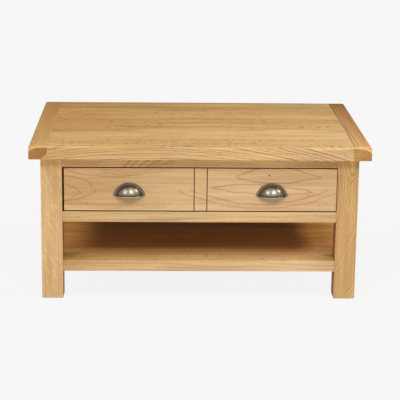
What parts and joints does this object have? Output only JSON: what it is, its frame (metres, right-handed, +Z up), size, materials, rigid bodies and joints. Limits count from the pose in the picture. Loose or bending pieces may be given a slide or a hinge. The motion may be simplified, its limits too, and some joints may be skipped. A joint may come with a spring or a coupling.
{
  "type": "coffee table",
  "caption": "Low rectangular oak coffee table with a breadboard-ended top, a wide drawer with cup pulls and an open slatted shelf between square legs.",
  "frame": {"origin": "on the floor under the middle of the top", "axes": "+X to the right along the length, +Y from the drawer's front to the rear, +Z up"},
  "size_m": [0.95, 0.65, 0.45],
  "materials": {
    "oak": "satin lacquered oak",
    "inner_wood": "planed bare hardwood",
    "drawer_ply": "sanded plywood",
    "pewter": "aged pewter, polished on the lip",
    "screw_steel": "zinc plated"
  },
  "bodies": {
    "table": {"breadboard_end_left": "oak", "breadboard_end_right": "oak", "drawer_guide_left": "inner_wood", "drawer_guide_right": "inner_wood", "drawer_runner_left": "inner_wood", "drawer_runner_right": "inner_wood", "drawer_stop_left": "inner_wood", "drawer_stop_right": "inner_wood", "front_drawer_rail": "oak", "front_top_rail": "oak", "kicker_left": "inner_wood", "kicker_right": "inner_wood", "leg_front_left": "oak", "leg_front_right": "oak", "leg_rear_left": "oak", "leg_rear_right": "oak", "rear_apron": "oak", "runner_screws": "screw_steel", "shelf_batten": "inner_wood", "shelf_board_1": "oak", "shelf_board_2": "oak", "shelf_board_3": "oak", "shelf_board_4": "oak", "shelf_board_5": "oak", "shelf_cleat_left": "inner_wood", "shelf_cleat_right": "inner_wood", "shelf_rail_front": "oak", "shelf_rail_left": "oak", "shelf_rail_rear": "oak", "shelf_rail_right": "oak", "shelf_screws": "screw_steel", "side_apron_left": "oak", "side_apron_right": "oak", "top_board_1": "oak", "top_board_2": "oak", "top_board_3": "oak", "top_board_4": "oak", "top_board_5": "oak", "top_board_6": "oak", "top_screws": "screw_steel"},
    "drawer": {"drawer_front": "oak", "drawer_side_left": "inner_wood", "drawer_side_right": "inner_wood", "drawer_back": "inner_wood", "drawer_bottom": "drawer_ply", "cup_pull_left": "pewter", "cup_pull_right": "pewter", "pull_screws": "screw_steel", "drawer_bottom_screws": "screw_steel"}
  },
  "joints": [
    {"name": "drawer_slide", "type": "slide", "parent": "table", "child": "drawer", "axis": [0, -1, 0], "range_m": [0, 0.4]}
  ]
}
